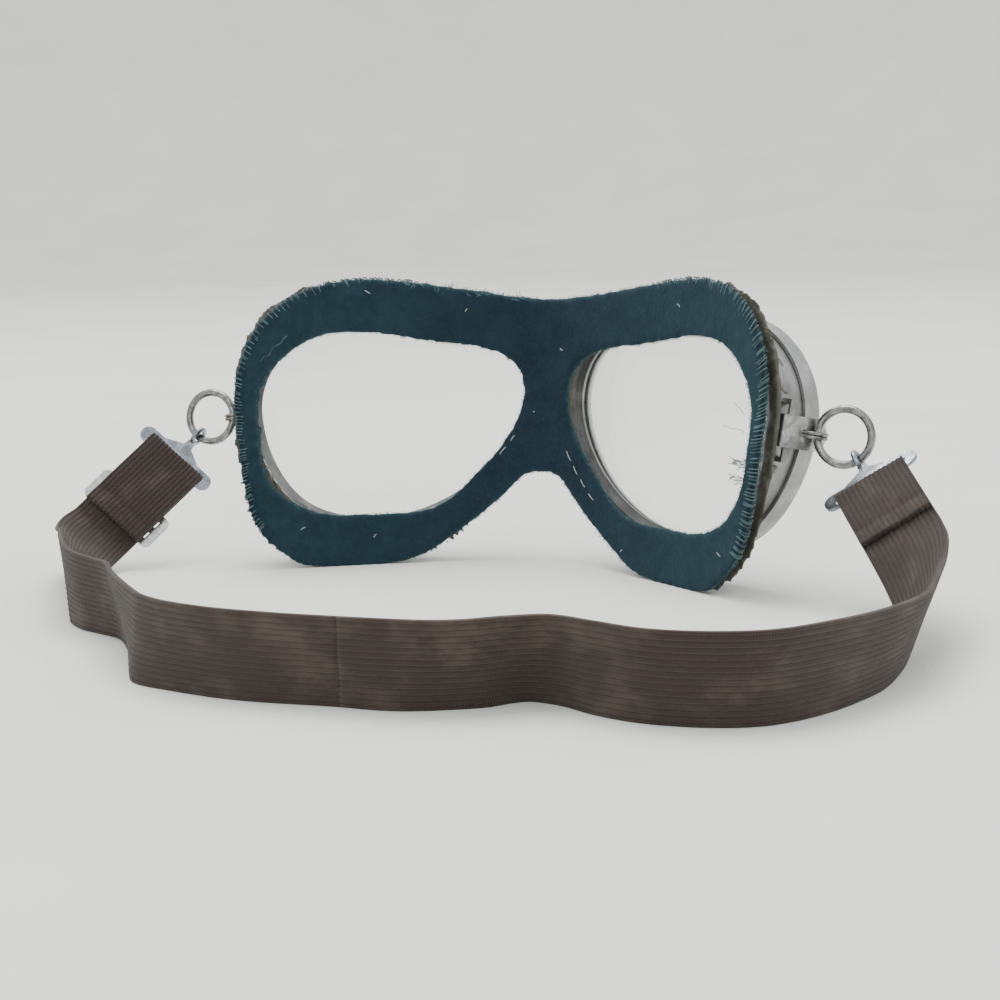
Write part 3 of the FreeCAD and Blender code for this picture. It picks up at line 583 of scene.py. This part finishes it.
frayed = strands("frayed_threads", loose_threads, 0.16 * MM, edge_fibre, 1)
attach(frayed, "frame")

TACKS = [((-12.5, 31.5), (-11.0, 33.6)), ((-9.6, 35.4), (-8.6, 37.0)), ((8.4, 33.0), (10.0, 30.4)),
         ((11.2, 28.8), (12.6, 26.6)), ((14.0, 25.2), (15.6, 23.2)), ((17.2, 21.4), (19.0, 19.8))]
LINT = [(-24, 74.5), (-51, 80.5), (5, 62), (-45, 8), (-62, 12), (30, 6.5), (66, 12), (-3, 44), (47, 76)]
tacks = [[on_pad(*a) - PAD_FACING * 0.4 * MM, on_pad(*a) + PAD_FACING * 0.2 * MM,
          on_pad(*b) + PAD_FACING * 0.2 * MM, on_pad(*b) - PAD_FACING * 0.4 * MM] for a, b in TACKS]
for x, z in LINT:
    end_place = on_pad(x + draw.uniform(-1.4, 1.4), z + draw.uniform(-1, 1))
    tacks.append(wavy(on_pad(x, z), end_place, 3, 0.25 * MM))
tacking = strands("tacking_stitches_and_lint", tacks, 0.2 * MM, white_cotton, 1)
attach(tacking, "frame")


# ---- leatherette skirts ---------------------------------------------------------------------------------
# A padded roll of coated cloth between each cup and the felt, sewn to both. It has settled into soft
# folds and bulges out past the felt at the temples.
SKIRT_VOXEL = 0.8 * MM
SKIRT_SPILL = 3.4 * MM
SPILL_DEPTH = 9 * MM
OUTER_REACH = 32 * MM
SKIRT_CLEAR = 0.5 * MM


def skirt_folds(place, normal):
    """Shallow puckers across the roll, pulled in along both seams."""
    pucker = noise.noise(Vector((place.x * 210, place.y * 60, place.z * 210))) * 0.40
    slack = noise.noise(place * 70) * 0.35
    return (pucker + slack) * MM if place.z > FOOT else 0.0


def spill_out(piece, sign):
    """Bulges the roll out past the felt's edge, most at the temples and under the eyes."""
    middle = eye_middle(sign)
    for vert in piece.data.vertices:
        place = vert.co - EYES
        pad_front = (pad_rear(place.x / MM, place.z / MM) + PAD_THICK) * MM
        near = max(0.0, min(1.0, 1.15 - (place.y - pad_front) / SPILL_DEPTH))
        out = Vector(((vert.co.x - middle.x) * sign, 0, vert.co.z - middle.z))
        reach = out.length
        out.normalize()
        share = max(min(1, max(0, out.x * 1.6)), min(1, max(0, -out.z * 1.2)) * 0.8)
        outer = max(0.0, min(1.0, reach / OUTER_REACH))
        move = SKIRT_SPILL * near * share * outer
        vert.co += Vector((out.x * sign, 0, out.z)) * move
        vert.co.z = max(vert.co.z, SKIRT_CLEAR)


for side, sign in (("left", -1), ("right", 1)):
    skirt = dense_copy("leatherette_skirt_" + side, "skirt_roll_" + side, leatherette, SKIRT_VOXEL)
    spill_out(skirt, sign)
    sculpt(skirt, 4, skirt_folds)
    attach(skirt, "frame")
    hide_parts("leatherette_skirt_" + side)


# ---- skirt stitching -------------------------------------------------------------------------------------
# Waxed cream thread in a running stitch round the rear of each cup's wall, where the coated cloth is
# sewn to the metal.
waxed, start, shader = finish("waxed_thread")
connect(shader, Base_Color=cloud(start, 400, 3).mix((0.30, 0.28, 0.19), (0.46, 0.43, 0.31)),
        Roughness=0.75, Normal=bump(start, cloud(start, 4200, 2, stretch=(1, 1, 0.3)), 0.15 * MM))
STITCH_DEGREES = 3
STITCH_ROW = 3.0 * MM
STITCH_LIFT = 0.25 * MM
WAXED_THREAD = 0.5 * MM
for side, sign in (("left", -1), ("right", 1)):
    middle = eye_middle(sign)
    rows = {}
    for vert in nodes["cup_" + side].data.vertices:
        out = Vector(((vert.co.x - middle.x) * sign, 0, vert.co.z - middle.z))
        slot = int((math.degrees(math.atan2(out.z, out.x)) + 180) / STITCH_DEGREES)
        out.normalize()
        rows.setdefault(slot, []).append((vert.co.copy(), Vector((out.x * sign, 0, out.z))))
    rim = []
    for slot in sorted(rows):
        rear = min(place.y for place, out in rows[slot])
        row = [(place, out) for place, out in rows[slot] if place.y < rear + STITCH_ROW]
        rim.append(max(row, key=lambda entry: (entry[0] - middle).dot(entry[1])))
    stitches = []
    for (a, out_a), (b, out_b) in zip(rim[::2], rim[1::2]):
        stitches.append([a - out_a * STITCH_LIFT, a + out_a * STITCH_LIFT,
                         a.lerp(b, 0.5) + (out_a + out_b) * STITCH_LIFT * 0.9,
                         b + out_b * STITCH_LIFT, b - out_b * STITCH_LIFT])
    stitching = strands("skirt_stitching_" + side, stitches, WAXED_THREAD, waxed, 2)
    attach(stitching, "frame")


# ---- elastic strap ----------------------------------------------------------------------------------------
# Dark brown woven elastic, 20 mm wide, with fine ribs along it. Each end is turned through its
# hanger and sewn down, and the single layer between them stands on its edge. That layer is one strap,
# made here in two halves that meet at its middle.
STRAP_WIDTH = 20 * MM
STRAP_THICK = 1.1 * MM
RIBS = 15
RIB_DEPTH = 0.13 * MM
WANDER = 0.28 * MM
RUN_STEP = 1.5 * MM
PICK_PITCH = 0.62
HALF = 10
TUCKED = 2.0
SHEET_OFFSET = 0.7
ACROSS_STEPS = RIBS * 4
PAST_SEWN = (0.5, 4.5)
FLOOR_GAP = 0.3


HOOK_TO_BAR = 7.4


class SewnEnd:
    """Where one end of the strap lies: P runs down the strap, Q across it, N off it."""

    def __init__(self, side, hook, run, across, end):
        self.side = side
        self.run = Vector(run).normalized()
        self.across = (Vector(across) - self.run * Vector(across).dot(self.run)).normalized()
        self.off = self.run.cross(self.across)
        self.origin = EYES + Vector(hook) * MM + self.run * HOOK_TO_BAR * MM
        self.end = end

    def point(self, p, q, n):
        """A place given in P, Q, N, in millimetres."""
        return self.origin + (self.run * p + self.across * q + self.off * n) * MM


right_end = SewnEnd("right", (101.98, -21.06, 37.0), (0.504, -0.763, -0.405),
                    (0.807, 0.249, 0.535), 25.0)
left_end = SewnEnd("left", (-101.98, -21.06, 37.0), (-0.394, -0.700, -0.596),
                   (-0.748, -0.132, 0.650), 30.0)

# the edges of the single layer, right to left, in millimetres about the plane between the eyes:
# (lower edge, upper edge), and where it stands upright only their x and y
TWIST_RIGHT = [((119.5, -60, 9.5), (132.5, -56, 24.5)), ((126, -72, 3.0), (134.5, -68, 21.0)),
               ((129.5, -86, 0.5), (136, -84, 19.5)), ((131, -103, 0.4), (137.5, -101, 19.3)),
               ((130, -120, 0.4), (135, -119, 19.7))]
UPRIGHT = [((124.5, -138), (127, -140)), ((116.5, -151), (117.5, -153)), ((107, -156.5), (106, -158.5)),
           ((93, -158.5), (92, -160)), ((81, -156), (79.5, -156.5)), ((69.5, -150.5), (68.5, -154)),
           ((61.5, -150), (61, -159)), ((54.5, -158.5), (53, -165.5)), ((39.5, -166.5), (40, -169)),
           ((23, -168), (24, -170.5)), ((1, -170.3), (1, -171)), ((-16, -168), (-17, -168)),
           ((-28.5, -165), (-27, -163.5))]
TWIST_LEFT = [((-34, -159, 0.4), (-33, -158.5, 20.2)), ((-42, -147, 0.4), (-41.5, -150.5, 20.0)),
              ((-51.5, -134.5, 0.4), (-53, -138.5, 19.8)), ((-59, -127.3, 0.4), (-60, -130.5, 20.0)),
              ((-67, -124, 0.4), (-66.5, -127, 20.0)), ((-75, -121, 0.4), (-75, -122.5, 20.2)),
              ((-84, -113, 0.4), (-85.5, -113, 20.2)), ((-92.5, -98, 0.4), (-97, -99, 19.8)),
              ((-101, -80, 0.5), (-109, -83, 18.0)), ((-107, -67, 0.9), (-118, -72, 16.4)),
              ((-111, -57, 2.2), (-124.5, -61, 16.9))]


def about_eyes(point):
    """A place given in millimetres about the plane between the eyes."""
    return EYES + Vector(point) * MM


def smooth_course(stations):
    """The same pairs of edge points with more between them, about RUN_STEP apart, on smooth curves."""
    last = len(stations) - 1
    place = [0.0]
    for (a0, b0), (a1, b1) in zip(stations, stations[1:]):
        place.append(place[-1] + (a1 + b1 - a0 - b0).length / 2)
    slopes = []
    for i in range(last + 1):
        before, after = max(i - 1, 0), min(i + 1, last)
        slopes.append([(stations[after][e] - stations[before][e]) / (place[after] - place[before])
                       for e in (0, 1)])
    course = []
    for i in range(last):
        span = place[i + 1] - place[i]
        count = max(2, round(span / RUN_STEP))
        for step in range(count + (i == last - 1)):
            t = step / count
            course.append([stations[i][e] * (2 * t ** 3 - 3 * t ** 2 + 1)
                           + slopes[i][e] * (span * (t ** 3 - 2 * t ** 2 + t))
                           + stations[i + 1][e] * (3 * t ** 2 - 2 * t ** 3)
                           + slopes[i + 1][e] * (span * (t ** 3 - t ** 2)) for e in (0, 1)])
    return course


def ribbon(name, course, material, first_length=0.0):
    """A ribbed strip of elastic along a course of edge pairs, and how far along the strap it ends.
    Its UV map has u along the strap, in strap widths, and v across it. It begins at first_length."""
    along = [first_length]
    for (a0, b0), (a1, b1) in zip(course, course[1:]):
        along.append(along[-1] + (a1 + b1 - a0 - b0).length / 2)
    strip = bmesh.new()
    bmesh.ops.create_grid(strip, x_segments=len(course) - 1, y_segments=ACROSS_STEPS, size=0.5,
                          calc_uvs=False)
    uv = strip.loops.layers.uv.new("strap")
    spot = {vert: (round((vert.co.x + 0.5) * (len(course) - 1)), vert.co.y + 0.5) for vert in strip.verts}
    for vert, (i, share) in spot.items():
        a, b = course[i]
        vert.co = a.lerp(b, share)
    for face in strip.faces:
        for loop in face.loops:
            i, share = spot[loop.vert]
            loop[uv].uv = (along[i] / STRAP_WIDTH, share)
    strip.normal_update()
    for vert, (i, share) in spot.items():
        vert.co += vert.normal * noise.noise(Vector((along[i] * 60, share * 2.5, 0))) * WANDER
    piece = piece_from(strip, name, material)
    wall = piece.modifiers.new("thickness", "SOLIDIFY")
    wall.thickness = STRAP_THICK
    wall.offset = 0
    wall.use_even_offset = False
    made = bpy.data.meshes.new_from_object(piece.evaluated_get(bpy.context.evaluated_depsgraph_get()))
    piece.modifiers.clear()
    piece.data = made
    shape = bmesh.new()
    shape.from_mesh(made)
    uv = shape.loops.layers.uv.active
    across = {}
    for face in shape.faces:
        for loop in face.loops:
            across[loop.vert] = loop[uv].uv[1]
    shape.normal_update()
    for vert, share in across.items():
        vert.co += vert.normal * math.cos(share * RIBS * math.tau) * RIB_DEPTH
    shape.to_mesh(made)
    shape.free()
    made.polygons.foreach_set("use_smooth", [True] * len(made.polygons))
    return piece, along[-1]


elastic, start, shader = finish("woven_elastic")
where = start.make("UVMap", {"uv_map": "strap"})
u = start.make("SeparateXYZ", {}, {0: where})
v = Value(u.tree, u.socket.node.outputs[1])
groove = v.math("COSINE", v * (RIBS * math.tau)) * -0.5 + 0.5
pick = u.math("SINE", u * (2 * HALF / PICK_PITCH * math.tau)) * 0.5 + 0.5
holes = groove.step(0.55, 0.95) * pick.step(0.35, 0.75)
lint = cloud(start, 60, 6, 0.7, "UV", (1, 1, 1)).step(0.60, 0.75)
worn = cloud(start, 1.1, 5, 0.65, "UV", (1.0, 1.6, 1)).step(0.46, 0.70)
fine = cloud(start, 90, 3, 0.6, "UV", (1, 2.5, 1))
colour = fine.mix((0.022, 0.014, 0.012), (0.060, 0.040, 0.034))
colour = (worn * 0.55).mix(colour, (0.105, 0.078, 0.062))
colour = (holes * 0.55).mix(colour, (0.006, 0.004, 0.004))
colour = (lint * 0.35).mix(colour, (0.16, 0.13, 0.11))
connect(shader, Base_Color=colour, Roughness=0.86, Sheen_Weight=0.12, Specular_IOR_Level=0.25,
        Normal=bump(start, fine * 0.5 - holes * 1.0 + lint * 0.2, 0.00035, 0.9))



def beside_sewn(end, offset, places):
    """Pairs of edge points along a sewn end, that many millimetres off it and past its end."""
    return [(end.point(end.end + p, -HALF, offset), end.point(end.end + p, HALF, offset)) for p in places]


stations = beside_sewn(right_end, -SHEET_OFFSET, (-TUCKED, *PAST_SEWN))
stations += [(about_eyes(a), about_eyes(b)) for a, b in TWIST_RIGHT]
stations += [(about_eyes((*a, FLOOR_GAP)), about_eyes((*b, FLOOR_GAP + 2 * HALF))) for a, b in UPRIGHT]
stations += [(about_eyes(a), about_eyes(b)) for a, b in TWIST_LEFT]
stations += beside_sewn(left_end, SHEET_OFFSET, (*reversed(PAST_SEWN), -TUCKED))
course = smooth_course(stations)
middle = len(course) // 2
band_right, right_length = ribbon("strap_band_right", course[:middle + 1], elastic)
band_left, whole_length = ribbon("strap_band_left", course[middle:], elastic, right_length)
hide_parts("strap_band")
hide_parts("strap_band")


def turned_end(end, near):
    """The sewn end: down from the cut end on the near side, round the hanger's bar and back behind."""
    rod = 2.3
    bend = 0.75
    cut_end = end.end
    seam, seam_dip, seam_width = 5.5, 0.35, 1.3
    round_steps = 8
    places = [(cut_end, near * (bend + 0.35))]
    for back in (2, 4, seam, 7, 10, 14):
        p = cut_end - back
        dip = seam_dip * math.exp(-((p - cut_end + seam) / seam_width) ** 2)
        places.append((p, near * (bend + 0.30 - dip)))
    places += [(rod + 5, near * bend), (rod + 1.5, near * bend)]
    for turn in range(1, round_steps):
        angle = math.pi * turn / round_steps
        places.append((rod + 0.6 - math.sin(angle) * 1.35, near * math.cos(angle) * (bend + 0.1)))
    places += [(rod + 1.5, -near * bend), (rod + 5, -near * bend)]
    places += [(p, -near * bend) for p in (cut_end - 12, cut_end - 5, cut_end + 0.5)]
    return smooth_course([(end.point(p, -HALF, n), end.point(p, HALF, n)) for p, n in places])


for end, near, band, band_length in ((right_end, 1, band_right, right_length),
                                     (left_end, -1, band_left, whole_length - right_length)):
    sewn, sewn_length = ribbon("strap_sewn_end_" + end.side, turned_end(end, near), elastic)
    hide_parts("strap_end_" + end.side)
    end.point(6, 0, 0)
    end.point(end.end - 3, 0, 0)
    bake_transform(sewn)
    end.point(end.end + 2, 0, 0)
    end.point(end.end + 45, 0, 0)
    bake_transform(band)
